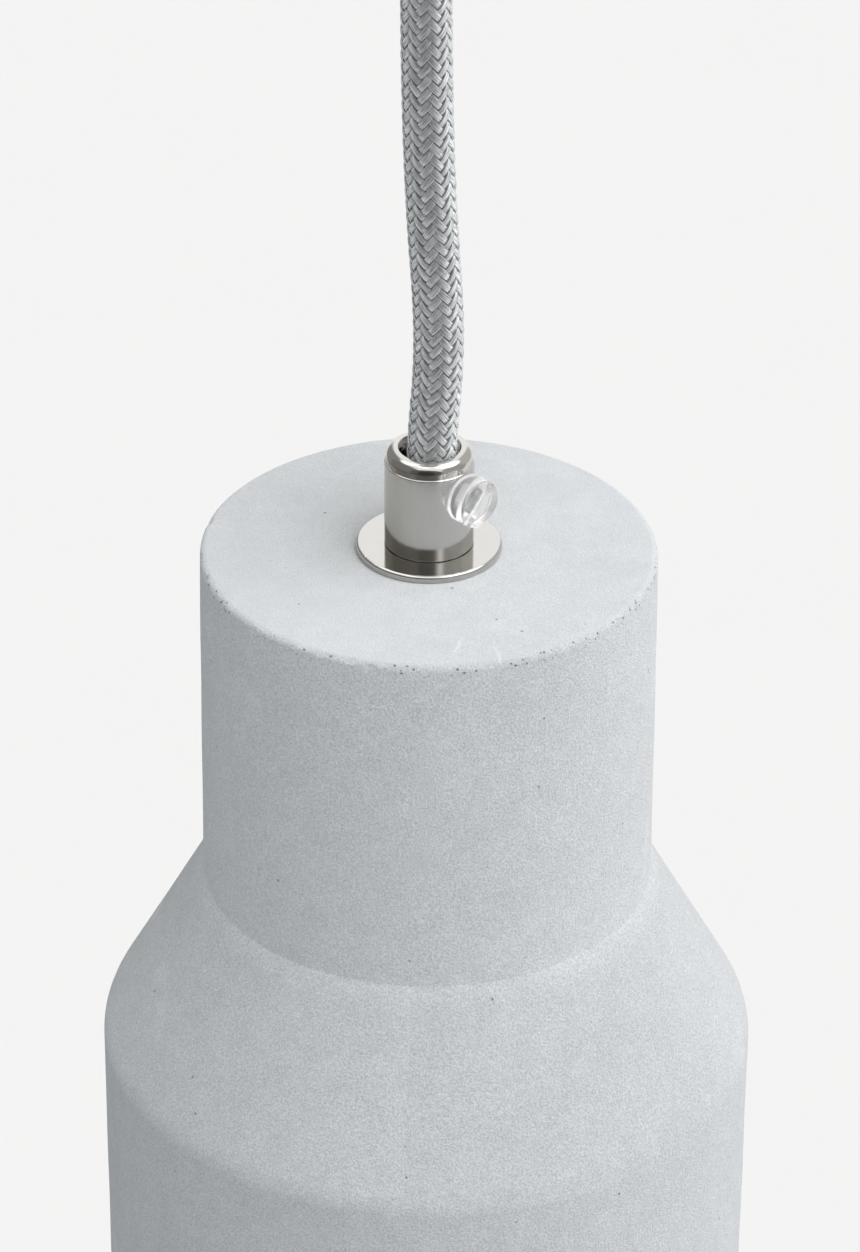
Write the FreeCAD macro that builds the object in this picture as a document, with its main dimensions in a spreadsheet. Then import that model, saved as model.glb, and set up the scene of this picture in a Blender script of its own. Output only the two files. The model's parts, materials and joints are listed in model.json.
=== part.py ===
import FreeCAD, Part

import math
import os

import Sketcher

# A concrete pendant lamp on a short braided cord, with its ceiling fitting.
# The origin is the middle of the ceiling plane; +Z points up, so the lamp hangs below zero.
# Everything is in millimetres.

DRIVING_SIZES = {
    # ceiling fitting
    "strap_thickness": 1.5,
    "strap_width": 18.0,
    "strap_reach": 47.3,
    "tab_drop": 13.0,
    "slot_width": 5.0,
    "slot_length": 12.0,
    "slot_spacing": 60.0,
    "side_screw_drop": 8.0,
    "side_screw_radius": 1.95,
    "side_head_radius": 3.6,
    "side_head_length": 2.2,
    "side_screw_length": 7.0,
    "side_slot_width": 0.9,
    "side_slot_depth": 1.1,
    "canopy_radius": 50.0,
    "canopy_height": 28.0,
    "canopy_wall": 1.2,
    "canopy_corner": 6.0,
    "block_pitch": 9.0,
    "block_depth": 17.0,
    "block_height": 12.0,
    "insert_radius": 2.1,
    "insert_bore": 1.4,
    "insert_length": 15.0,
    "insert_drop": 6.5,
    "pinch_radius": 1.25,
    "pinch_spread": 4.6,
    "pinch_length": 3.2,
    "pinch_head_radius": 1.625,
    "fixing_radius": 1.5,
    "fixing_length": 11.4,
    "fixing_head_radius": 2.6,
    "fixing_hole_radius": 1.6,
    "fixing_recess_radius": 3.0,
    "fixing_recess_depth": 2.5,
    "screw_hole_radius": 1.55,
    "small_head_length": 1.8,
    "fine_slot_width": 0.6,
    "fine_slot_depth": 0.8,
    "wide_slot_width": 0.7,
    "wide_slot_depth": 0.9,
    # threaded tube, cord grip and clamp screw, used at both ends of the cord
    "tube_radius": 4.95,
    "tube_bore": 4.0,
    "tapped_radius": 5.0,
    "through_radius": 5.3,
    "grip_radius": 6.43,
    "grip_height": 15.4,
    "grip_mouth": 4.5,
    "grip_tapped_depth": 8.0,
    "grip_shoulder": 1.8,
    "nut_flats": 14.0,
    "nut_height": 3.5,
    "washer_radius": 10.5,
    "washer_thickness": 1.0,
    "clamp_height": 10.3,
    "clamp_turn": 47.0,
    "clamp_head_radius": 3.55,
    "clamp_head_length": 3.3,
    "clamp_gap": 0.9,
    "clamp_radius": 1.95,
    "clamp_slot": 1.0,
    "clamp_edge": 0.35,
    "clamp_tip_gap": 0.15,
    "running_gap": 0.05,
    # cord
    "hanging_drop": 250.0,
    "cord_radius": 3.6,
    "core_radius": 1.15,
    "copper_radius": 0.65,
    "cord_end_depth": 12.0,
    # concrete shade
    "neck_radius": 33.0,
    "neck_foot_radius": 33.35,
    "neck_height": 53.6,
    "body_radius": 48.8,
    "shoulder_height": 27.9,
    "shade_height": 180.0,
    "shade_wall": 8.0,
    "shade_roof": 12.0,
    "top_edge": 2.3,
    "shoulder_edge": 7.0,
    "rim_edge": 1.5,
    # lampholder
    "holder_gap": 0.5,
    "holder_height": 60.0,
    "holder_radius": 19.5,
    "holder_boss": 8.0,
    "shell_radius": 13.8,
    "shell_wall": 0.35,
    "ceramic_radius": 16.3,
    "skirt_top": 36.0,
    "thread_foot": 28.0,
    "ceramic_foot": 8.0,
    "ceramic_floor": 27.0,
    "ceramic_top": 38.0,
    "earth_height": 42.5,
    "boss_height": 5.8,
    "dome_wall": 1.4,
    "dome_rounding": 10.0,
    "post_spread": 9.0,
    "post_width": 6.0,
    "post_depth": 5.0,
    # lamp bulb
    "cap_radius": 13.1,
    "cap_wall": 0.5,
    "globe_radius": 30.0,
    "globe_drop": 50.0,
    "globe_wall": 1.2,
    "bulb_joint_drop": 32.0,
    "led_board_radius": 20.5,
    "led_board_thickness": 1.6,
    "led_ring_radius": 13.0,
    "led_width": 3.0,
    "led_height": 0.8,
    "driver_width": 18.0,
    "driver_height": 26.0,
}

doc = FreeCAD.newDocument("PendantLamp")
sheet = doc.addObject("Spreadsheet::Sheet", "Sizes")


class Size:
    """A length that knows both its value and the sheet expression it comes from."""

    def __init__(self, value, text):
        self.value = value
        self.text = text

    def joined(self, sign, other, value):
        return Size(value, f"({self.text} {sign} {as_size(other).text})")

    def __add__(self, other):
        return self.joined("+", other, self.value + as_size(other).value)

    def __sub__(self, other):
        return self.joined("-", other, self.value - as_size(other).value)

    def __mul__(self, other):
        return self.joined("*", other, self.value * as_size(other).value)

    def __truediv__(self, other):
        return self.joined("/", other, self.value / as_size(other).value)

    def __neg__(self):
        return Size(-self.value, f"(-1 * {self.text})")

    def __radd__(self, other):
        return as_size(other) + self

    def __rsub__(self, other):
        return as_size(other) - self


def as_size(number):
    """A plain number as a Size, or the Size it already is."""
    return number if isinstance(number, Size) else Size(float(number), repr(float(number)))


class Sizes:
    """Writes the driving sizes to the sheet and gives each one by name."""

    def __init__(self):
        for row, (alias, value) in enumerate(DRIVING_SIZES.items(), start=1):
            sheet.set(f"A{row}", alias)
            sheet.set(f"B{row}", str(value))
            sheet.setAlias(f"B{row}", alias)
            setattr(self, alias, Size(value, f"Sizes.{alias}"))


size = Sizes()
doc.recompute()

UP = FreeCAD.Vector(0, 0, 1)


def bind(item, **properties):
    """Bind properties of an object to sheet expressions."""
    for name, value in properties.items():
        if isinstance(value, Size):
            item.setExpression(name, value.text)
        else:
            setattr(item, name, value)


def place(item, x=0, y=0, z=0, rotation=None):
    """Put an object at a point whose coordinates come from the sheet."""
    item.Placement = FreeCAD.Placement(FreeCAD.Vector(), rotation or FreeCAD.Rotation())
    for axis, value in zip("xyz", (x, y, z)):
        if isinstance(value, Size):
            item.setExpression(f".Placement.Base.{axis}", value.text)
        else:
            setattr(item.Placement.Base, axis, value)
    return item


def pointing(direction):
    """The rotation that turns +Z to a direction."""
    return FreeCAD.Rotation(UP, FreeCAD.Vector(*direction))


# ---------- PartDesign helpers ----------


def origin_plane(body, role):
    return next(f for f in body.Origin.OriginFeatures if f.Role == role)


def pin_coordinate(sketch, kind, point, value):
    """Hold one coordinate of a sketch point at a value that comes from the sheet."""
    axis_line = -2 if kind == "DistanceX" else -1
    if value.value == 0:
        sketch.addConstraint(Sketcher.Constraint("PointOnObject", *point, axis_line))
        return
    first, second = ((-1, 1), point) if value.value > 0 else (point, (-1, 1))
    shown = value if value.value > 0 else -value
    index = sketch.addConstraint(Sketcher.Constraint(kind, *first, *second, shown.value))
    sketch.setExpression(f"Constraints[{index}]", shown.text)


def closed_outline(sketch, points):
    """A closed run of straight lines whose corners are held by the sheet."""
    corners = [(as_size(x), as_size(y)) for x, y in points]
    places = [FreeCAD.Vector(x.value, y.value, 0) for x, y in corners]
    first = sketch.GeometryCount
    count = len(places)
    for i in range(count):
        sketch.addGeometry(Part.LineSegment(places[i], places[(i + 1) % count]))
    for i in range(count):
        following = first + (i + 1) % count
        sketch.addConstraint(Sketcher.Constraint("Coincident", first + i, 2, following, 1))
    for i, (x, y) in enumerate(corners):
        pin_coordinate(sketch, "DistanceX", (first + i, 1), x)
        pin_coordinate(sketch, "DistanceY", (first + i, 1), y)


def new_sketch(body, role, name):
    sketch = body.newObject("Sketcher::SketchObject", name)
    sketch.AttachmentSupport = (origin_plane(body, role), [""])
    sketch.MapMode = "FlatFace"
    return sketch


def turned(label, outline):
    """A body turned about its own Z axis from an outline of (radius, height) corners."""
    body = doc.addObject("PartDesign::Body", label)
    sketch = new_sketch(body, "XZ_Plane", label + "_outline")
    closed_outline(sketch, outline)
    turn = body.newObject("PartDesign::Revolution", label + "_turn")
    turn.Profile = sketch
    turn.ReferenceAxis = (sketch, ["V_Axis"])
    turn.Angle = 360
    doc.recompute()
    return body


def plate(label, outline, thickness, role="XY_Plane", midplane=False):
    """A body padded from a straight-sided outline on one of its origin planes."""
    body = doc.addObject("PartDesign::Body", label)
    sketch = new_sketch(body, role, label + "_outline")
    closed_outline(sketch, outline)
    pad = body.newObject("PartDesign::Pad", label + "_pad")
    pad.Profile = sketch
    pad.Midplane = midplane
    bind(pad, Length=thickness)
    doc.recompute()
    return body


def less(body, kind, name, settings, **where):
    """Take a primitive, such as a box or cylinder, out of a body."""
    before = body.Shape.Volume
    tool = body.newObject(f"PartDesign::Subtractive{kind}", name)
    bind(tool, **settings)
    place(tool, **where)
    doc.recompute()
    if body.Shape.Volume > before - 0.001:
        raise RuntimeError(f"{name} cut nothing out of {body.Label}")


def edges_where(shape, test):
    """The names of a shape's edges that pass a test."""
    return [f"Edge{i}" for i, edge in enumerate(shape.Edges, start=1) if test(edge)]


def circle_at(radius, height):
    """A test for the round edge of a radius at a height in a body's own frame."""

    def test(edge):
        curve = edge.Curve
        return (
            isinstance(curve, Part.Circle)
            and abs(curve.Radius - as_size(radius).value) < 0.01
            and abs(curve.Center.z - as_size(height).value) < 0.01
        )

    return test


def rounded(body, radius, *edges):
    """Fillet the round edges given as (radius, height) pairs."""
    for number, (edge_radius, height) in enumerate(edges):
        names = edges_where(body.Tip.Shape, circle_at(edge_radius, height))
        if not names:
            raise RuntimeError(f"{body.Label} has no edge {as_size(edge_radius).value}")
        before = body.Tip
        fillet = body.newObject("PartDesign::Fillet", f"{body.Name}_fillet{number}")
        fillet.Base = (before, names)
        bind(fillet, Radius=radius)
        doc.recompute()


# ---------- Part helpers ----------


def cylinder(name, radius, height, **where):
    item = doc.addObject("Part::Cylinder", name)
    bind(item, Radius=radius, Height=height)
    return place(item, **where)


def box(name, length, width, height, **where):
    item = doc.addObject("Part::Box", name)
    bind(item, Length=length, Width=width, Height=height)
    return place(item, **where)


def fused(name, *items):
    item = doc.addObject("Part::MultiFuse", name)
    item.Shapes = list(items)
    return item


def less_all(label, base, *tools):
    """The base with each tool cut out of it."""
    item = base
    for number, tool in enumerate(tools, start=1):
        result = doc.addObject("Part::Cut", label if number == len(tools) else f"{label}_cut{number}")
        result.Base = item
        result.Tool = tool
        item = result
    return item


def grouped(label, items):
    """Identical loose pieces in one node."""
    item = doc.addObject("Part::Compound", label)
    item.Links = list(items)
    return item


def slotted_screw(name, radius, length, head_radius, head_length, slot, depth):
    """A screw along +Z from its tip, with a slotted cylindrical head."""
    shank = cylinder(name + "_shank", radius, length)
    head = cylinder(name + "_head", head_radius, head_length, z=length)
    across = head_radius * 2 + 2
    groove = box(
        name + "_slot", slot, across, depth + 1,
        x=-slot / 2, y=-across / 2, z=length + head_length - depth,
    )
    return less_all(name, fused(name + "_blank", shank, head), groove)


# ---------- routes of cords and wires ----------

FULLEST_ARC = 0.45


def rounded_path(points, share=FULLEST_ARC, report=None):
    """Straight runs joined by tangent arcs, each as large as its two runs allow."""
    points = [FreeCAD.Vector(*p) for p in points]
    edges, radii = [], []
    start = points[0]
    for before, corner, after in zip(points, points[1:], points[2:]):
        come, leave = corner - before, after - corner
        trim = share * min(come.Length, leave.Length)
        turn = come.getAngle(leave)
        radii.append(trim / math.tan(turn / 2))
        come.normalize()
        leave.normalize()
        enter, exit_point = corner - come * trim, corner + leave * trim
        inward = leave - come
        inward.normalize()
        centre = corner + inward * (radii[-1] / math.cos(turn / 2))
        middle = centre - inward * radii[-1]
        edges.append(Part.LineSegment(start, enter).toShape())
        edges.append(Part.Arc(enter, middle, exit_point).toShape())
        start = exit_point
    edges.append(Part.LineSegment(start, points[-1]).toShape())
    if report:
        print(report, "bend radii", [round(r, 1) for r in radii])
    return Part.Wire(edges)


def tube_along(wire, radius):
    """A round solid swept along a wire."""
    start = wire.Vertexes[0].Point
    along = wire.Edges[0].tangentAt(wire.Edges[0].FirstParameter)
    section = Part.Wire(Part.makeCircle(radius, start, along))
    solid = wire.makePipeShell([section], True, False)
    if abs(solid.Volume - math.pi * radius**2 * wire.Length) > 0.01 * solid.Volume:
        raise RuntimeError("a swept cord has the wrong volume")
    return solid


def feature(label, shape, z=0):
    item = doc.addObject("Part::Feature", label)
    item.Shape = shape
    item.Placement = FreeCAD.Placement(FreeCAD.Vector(0, 0, z), FreeCAD.Rotation())
    return item


# ---------- pieces used at both ends of the cord ----------


def cord_grip(label):
    """The grip standing on its base: tapped below, a rounded collar above."""
    tapped_end = size.grip_tapped_depth
    body = turned(label, [
        (size.tapped_radius, 0),
        (size.grip_radius, 0),
        (size.grip_radius, size.grip_height),
        (size.grip_mouth, size.grip_height),
        (size.grip_mouth, tapped_end),
        (size.tapped_radius, tapped_end),
    ])
    rounded(body, size.grip_shoulder, (size.grip_radius, size.grip_height))
    less(
        body, "Cylinder", label + "_screw_hole",
        {"Radius": size.clamp_radius + size.running_gap, "Height": size.grip_radius * 2},
        z=size.clamp_height, rotation=pointing(clamp_direction()),
    )
    return body


def clamp_direction():
    """The way the clamp screw points out of its grip."""
    turn = math.radians(size.clamp_turn.value)
    return math.cos(turn), -math.sin(turn), 0


def clamp_screw(label):
    """The clear thumb screw along +Z from its tip, which stops just off the cord."""
    reach = size.grip_radius + size.clamp_gap - size.cord_radius - size.clamp_tip_gap
    top = reach + size.clamp_head_length
    body = turned(label, [
        (0, 0),
        (size.clamp_radius, 0),
        (size.clamp_radius, reach),
        (size.clamp_head_radius, reach),
        (size.clamp_head_radius, top),
        (0, top),
    ])
    rounded(body, size.clamp_edge, (size.clamp_head_radius, reach), (size.clamp_head_radius, top))
    across = size.clamp_head_radius * 2
    less(
        body, "Box", label + "_slot",
        {"Length": size.clamp_slot, "Width": across, "Height": size.clamp_slot},
        x=-size.clamp_slot / 2, y=-across / 2, z=top - size.clamp_slot * 0.8,
    )
    return body


def clamp_screw_at(label, outward, height):
    """A clamp screw pointing outward, its tip just off the cord."""
    start = size.cord_radius + size.clamp_tip_gap
    return place(
        clamp_screw(label), x=start * outward.x, y=start * outward.y, z=height,
        rotation=pointing(tuple(outward)),
    )


def hex_nut(label, z):
    """A thin hexagon nut on the threaded tube."""
    blank = doc.addObject("Part::Prism", label + "_blank")
    blank.Polygon = 6
    bind(blank, Circumradius=size.nut_flats / 2 * (2 / math.sqrt(3)), Height=size.nut_height)
    hole = cylinder(label + "_hole", size.tapped_radius, size.nut_height + 2, z=-1)
    return place(less_all(label, blank, hole), z=z)


def ring(label, outer, inner, thickness, z):
    """A flat round washer."""
    body = turned(label, [(inner, 0), (outer, 0), (outer, thickness), (inner, thickness)])
    return place(body, z=z)


# ---------- ceiling fitting ----------


def ceiling_bracket():
    """A strap across the ceiling whose bent ends take the canopy's side screws."""
    reach, thick, drop = size.strap_reach, size.strap_thickness, size.tab_drop
    strap = plate("ceiling_bracket", [
        (-reach, -drop), (-reach, 0), (reach, 0), (reach, -drop),
        (reach - thick, -drop), (reach - thick, -thick),
        (-reach + thick, -thick), (-reach + thick, -drop),
    ], size.strap_width, role="XZ_Plane", midplane=True)
    for side, name in ((-1, "left"), (1, "right")):
        middle = size.slot_spacing * side / 2
        straight = size.slot_length - size.slot_width
        deep = thick + 2
        less(
            strap, "Box", f"{name}_slot",
            {"Length": straight, "Width": size.slot_width, "Height": deep},
            x=middle - straight / 2, y=-size.slot_width / 2, z=-thick - 1,
        )
        for end in (-1, 1):
            less(
                strap, "Cylinder", f"{name}_slot_end",
                {"Radius": size.slot_width / 2, "Height": deep},
                x=middle + straight * end / 2, z=-thick - 1,
            )
        less(
            strap, "Cylinder", f"{name}_tab_hole",
            {"Radius": size.side_screw_radius + size.running_gap, "Height": thick * 3},
            x=reach * side, z=-size.side_screw_drop, rotation=pointing((-side, 0, 0)),
        )
    less(
        strap, "Cylinder", "block_screw_hole",
        {"Radius": size.screw_hole_radius, "Height": deep}, x=size.block_pitch / 2, z=-thick - 1,
    )
    return strap


WAYS = (-1, 0, 1)
ENDS = (-1, 1)


def terminal_block():
    """A three-way screw connector under the strap: body, brass inserts and screws."""
    wide, deep, high = size.block_pitch * 3, size.block_depth, size.block_height
    top = -size.strap_thickness
    block = plate("terminal_block_body", [
        (-wide / 2, -deep / 2), (wide / 2, -deep / 2), (wide / 2, deep / 2), (-wide / 2, deep / 2),
    ], high)
    middle = high - (size.insert_drop - size.strap_thickness)
    inserts, screws = [], []
    for way in WAYS:
        across = size.block_pitch * way
        less(
            block, "Cylinder", f"way{way + 2}",
            {"Radius": size.insert_radius + size.running_gap, "Height": deep + 2},
            x=across, y=deep / 2 + 1, z=middle, rotation=pointing((0, -1, 0)),
        )
        bore = [cylinder(
            f"insert_bore{way + 2}", size.insert_bore, deep,
            x=across, y=deep / 2, z=-size.insert_drop, rotation=pointing((0, -1, 0)),
        )]
        for end in ENDS:
            place_of_screw = {"x": across, "y": size.pinch_spread * end}
            less(
                block, "Cylinder", f"well{way + 2}{end + 2}",
                {"Radius": size.pinch_radius * 1.4, "Height": middle},
                **place_of_screw,
            )
            bore.append(cylinder(
                f"insert_tap{way + 2}{end + 2}", size.pinch_radius + size.running_gap,
                size.insert_radius + 1, z=-size.insert_drop - size.insert_radius - 1,
                **place_of_screw,
            ))
            screw = slotted_screw(
                f"pinch_screw{way + 2}{end + 2}", size.pinch_radius, size.pinch_length,
                size.pinch_head_radius, size.small_head_length, size.fine_slot_width,
                size.fine_slot_depth,
            )
            place(
                screw, z=-size.insert_drop - size.copper_radius - size.running_gap,
                rotation=pointing((0, 0, -1)), **place_of_screw,
            )
            screws.append(screw)
        blank = cylinder(
            f"insert_blank{way + 2}", size.insert_radius, size.insert_length,
            x=across, y=size.insert_length / 2, z=-size.insert_drop, rotation=pointing((0, -1, 0)),
        )
        inserts.append(less_all(f"insert{way + 2}", blank, *bore))
    less(
        block, "Cylinder", "fixing_hole",
        {"Radius": size.fixing_hole_radius, "Height": high + 2}, x=size.block_pitch / 2, z=-1,
    )
    less(
        block, "Cylinder", "fixing_recess",
        {"Radius": size.fixing_recess_radius, "Height": size.fixing_recess_depth},
        x=size.block_pitch / 2,
    )
    place(block, z=top - high)
    fixing = slotted_screw(
        "terminal_fixing_screw", size.fixing_radius, size.fixing_length, size.fixing_head_radius,
        size.small_head_length, size.wide_slot_width, size.wide_slot_depth,
    )
    place(fixing, x=size.block_pitch / 2, z=-0.3, rotation=pointing((0, 0, -1)))
    return [block, grouped("terminal_inserts", inserts), grouped("terminal_screws", screws), fixing]


def canopy():
    """The round cup that hides the ceiling wiring, open towards the ceiling."""
    radius, wall, high = size.canopy_radius, size.canopy_wall, size.canopy_height
    cup = turned("canopy", [
        (size.through_radius, 0), (radius, 0), (radius, high),
        (radius - wall, high), (radius - wall, wall), (size.through_radius, wall),
    ])
    rounded(cup, size.canopy_corner, (radius, 0))
    rounded(cup, size.canopy_corner - wall, (radius - wall, wall))
    for side in ENDS:
        less(
            cup, "Cylinder", "side_hole",
            {"Radius": size.side_screw_radius + 0.3, "Height": wall * 4},
            x=(radius + wall) * side, z=high - size.side_screw_drop,
            rotation=pointing((-side, 0, 0)),
        )
    return place(cup, z=-high)


def canopy_side_screws():
    """Two slotted screws through the canopy's rim into the bent strap ends."""
    screws = []
    for side, name in ((-1, "left_rim_screw"), (1, "right_rim_screw")):
        screw = slotted_screw(
            name, size.side_screw_radius, size.side_screw_length, size.side_head_radius,
            size.side_head_length, size.side_slot_width, size.side_slot_depth,
        )
        screws.append(place(
            screw, x=(size.canopy_radius - size.side_screw_length + 0.1) * side, z=-size.side_screw_drop,
            rotation=pointing((side, 0, 0)),
        ))
    return grouped("canopy_side_screws", screws)


def ceiling_clamp():
    """The threaded tube, nut, washer, cord grip and clamp screw in the canopy's middle."""
    floor = -size.canopy_height + size.canopy_wall
    washer = ring("canopy_washer", size.washer_radius, size.through_radius, size.washer_thickness, floor)
    nut = hex_nut("canopy_nut", floor + size.washer_thickness)
    foot = -size.canopy_height - size.grip_tapped_depth + 0.5
    head = floor + size.washer_thickness + size.nut_height + 1
    tube = threaded_tube("canopy_threaded_tube", foot, head)
    upside_down = pointing((0, 0, -1))
    grip = place(cord_grip("canopy_cord_grip"), z=-size.canopy_height, rotation=upside_down)
    outward = upside_down.multVec(FreeCAD.Vector(*clamp_direction()))
    screw = clamp_screw_at(
        "canopy_clamp_screw", outward, -size.canopy_height - size.clamp_height
    )
    return [washer, nut, tube, grip, screw]


def threaded_tube(label, foot, head):
    """A hollow M10 x 1 tube between two heights."""
    body = turned(label, [
        (size.tube_bore, 0), (size.tube_radius, 0),
        (size.tube_radius, head - foot), (size.tube_bore, head - foot),
    ])
    return place(body, z=foot)


# ---------- cord ----------

# The cord's route above the concrete's top, as (sideways, height) points in millimetres.
CORD_ROUTE = [
    (0.0, -12.0),
    (0.0, 15.0),
    (1.6, 33.0),
    (-0.3, 58.0),
    (-0.9, 88.0),
    (-0.7, 125.0),
    (0.3, 160.0),
    (0.0, 186.0),
    (0.0, 206.6),
]


def power_cord():
    """The braided cord from the lamp's threaded tube up to the ceiling grip's mouth."""
    route = [(x, 0, height) for x, height in CORD_ROUTE]
    wire = rounded_path(route, report="power_cord")
    radius = size.cord_radius.value
    tube = tube_along(wire, radius)
    ball = Part.makeSphere(radius, wire.Vertexes[-1].Point)
    print("power_cord length", round(wire.Length, 1))
    return feature("power_cord", tube.fuse(ball).removeSplitter(), -size.hanging_drop.value)


def ceiling_cord_end():
    """The clamped end of the cord, above the ball that the hanging length turns on."""
    foot = -size.canopy_height - size.grip_height + size.cord_radius + 0.3
    head = -size.canopy_height + size.canopy_wall + size.washer_thickness + size.nut_height - 1
    return cylinder("ceiling_cord_end", size.cord_radius, head - foot, z=foot)


# Each core's name, its way in the terminal block, and its turn about the cord at each end.
CORES = (("brown", -1, 150, 210), ("earth", 0, 270, 90), ("blue", 1, 30, 330))


def core_seat(turn, radius):
    """Where a core lies in the cord: three cores touch round its middle."""
    angle = math.radians(turn)
    reach = radius * 1.2
    return reach * math.cos(angle), reach * math.sin(angle)


def cored(label, points, tip_length, shift):
    """An insulated core along its points, its copper bared for the last stretch."""
    end = FreeCAD.Vector(*points[-1])
    last = end - FreeCAD.Vector(*points[-2])
    last.normalize()
    insulation = tube_along(rounded_path(points), size.core_radius.value)
    copper = Part.makeCylinder(size.copper_radius.value, tip_length, end, last)
    return feature(label, insulation.fuse(copper), shift)


def ceiling_cores():
    """The three cores from the cord's end into the terminal block."""
    top = size.canopy_height - size.canopy_wall - size.washer_thickness - size.nut_height + 1
    start = -top.value
    way_height = -size.insert_drop.value
    front = -size.block_depth.value / 2
    cores = []
    for name, way, turn, _ in CORES:
        x, y = core_seat(turn, size.core_radius.value)
        across = size.block_pitch.value * way
        rise = 3.5 + 2.5 * abs(way)
        points = [
            (x, y, start),
            (x, y, start + rise),
            (across * 0.7, front - 5.5, start + rise + 3.0),
            (across, front - 6.0, way_height),
            (across, front + 0.3, way_height),
        ]
        cores.append(cored(f"ceiling_core_{name}", points, 4.0, 0))
    return cores


# ---------- concrete shade ----------


def concrete_shade():
    """The cast shade: a neck, a straight shoulder and a cylinder, hollow and open below."""
    high, wall = size.shade_height, size.shade_wall
    neck_foot = high - size.neck_height
    crease = neck_foot - size.shoulder_height
    step = wall * 0.26
    inner_neck = size.neck_radius - wall
    inner_body = size.body_radius - wall
    shade = turned("concrete_shade", [
        (size.through_radius, high),
        (size.neck_radius, high),
        (size.neck_foot_radius, neck_foot),
        (size.body_radius, crease),
        (size.body_radius, 0),
        (inner_body, 0),
        (inner_body, crease - step),
        (inner_neck, neck_foot - step),
        (inner_neck, high - size.shade_roof),
        (size.through_radius, high - size.shade_roof),
    ])
    rounded(shade, size.top_edge, (size.neck_radius, high))
    rounded(shade, size.shoulder_edge, (size.body_radius, crease))
    rounded(shade, size.rim_edge, (size.body_radius, 0), (inner_body, 0))
    rounded(shade, 3, (inner_neck, high - size.shade_roof))
    return place(shade, z=-size.hanging_drop - high)


def lamp_clamp():
    """What holds the concrete: washer, grip, clamp screw, threaded tube, washer and nut."""
    top = -size.hanging_drop
    washer = ring("shade_top_washer", size.washer_radius, size.through_radius, size.washer_thickness, top)
    rounded(washer, size.washer_thickness * 0.45, (size.washer_radius, size.washer_thickness))
    base = top + size.washer_thickness
    grip = place(cord_grip("cord_grip"), z=base)
    outward = FreeCAD.Vector(*clamp_direction())
    screw = clamp_screw_at("clamp_screw", outward, base + size.clamp_height)
    roof = top - size.shade_roof
    under = ring(
        "shade_lower_washer", size.washer_radius, size.through_radius, size.washer_thickness,
        roof - size.washer_thickness,
    )
    nut = hex_nut("shade_nut", roof - size.washer_thickness - size.nut_height)
    tube = threaded_tube(
        "shade_threaded_tube", holder_top() - 7.5, base + size.grip_tapped_depth - 0.5,
    )
    return [washer, grip, screw, under, nut, tube]


# ---------- lampholder ----------


def holder_top():
    return (
        -size.hanging_drop - size.shade_roof - size.washer_thickness
        - size.nut_height - size.holder_gap
    )


def holder_mouth():
    return holder_top() - size.holder_height


def holder_dome():
    """The lampholder's metal cap, screwed on the threaded tube."""
    high, radius, wall = size.holder_height, size.holder_radius, size.dome_wall
    roof, seam = high - size.boss_height, size.skirt_top + 0.3
    threaded, inside = radius - 2, radius - 2.9
    dome = turned("holder_dome", [
        (size.tapped_radius, high), (size.holder_boss, high), (size.holder_boss, roof),
        (radius, roof), (radius, seam), (threaded, seam),
        (threaded, size.thread_foot), (inside, size.thread_foot), (inside, size.ceramic_top),
        (radius - wall, size.ceramic_top), (radius - wall, roof - wall),
        (size.tapped_radius, roof - wall),
    ])
    rounded(dome, size.dome_rounding, (radius, roof))
    rounded(dome, size.dome_rounding - wall, (radius - wall, roof - wall))
    less(
        dome, "Cylinder", "earth_tap",
        {"Radius": size.screw_hole_radius, "Height": 6}, y=radius - 4, z=size.earth_height,
        rotation=pointing((0, 1, 0)),
    )
    return place(dome, z=holder_mouth())


def holder_skirt():
    """The lampholder's outer sleeve, screwed on the cap's neck."""
    radius = size.holder_radius
    skirt = turned("holder_skirt", [
        (radius - 4.9, 0), (radius, 0), (radius, size.skirt_top), (radius - 1.95, size.skirt_top),
        (radius - 1.95, size.thread_foot - 1), (radius - 2.9, size.thread_foot - 1),
        (radius - 2.9, 4), (radius - 4.9, 2),
    ])
    rounded(skirt, 1, (radius, 0))
    return place(skirt, z=holder_mouth())


def holder_ceramic():
    """The ceramic core that carries the screw shell, contacts and terminals."""
    radius = size.ceramic_radius
    core = turned("holder_ceramic", [
        (1.6, size.ceramic_top), (radius, size.ceramic_top), (radius, size.ceramic_foot),
        (size.shell_radius + 0.1, size.ceramic_foot), (size.shell_radius + 0.1, size.ceramic_floor),
        (1.6, size.ceramic_floor),
    ])
    return place(core, z=holder_mouth())


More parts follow.
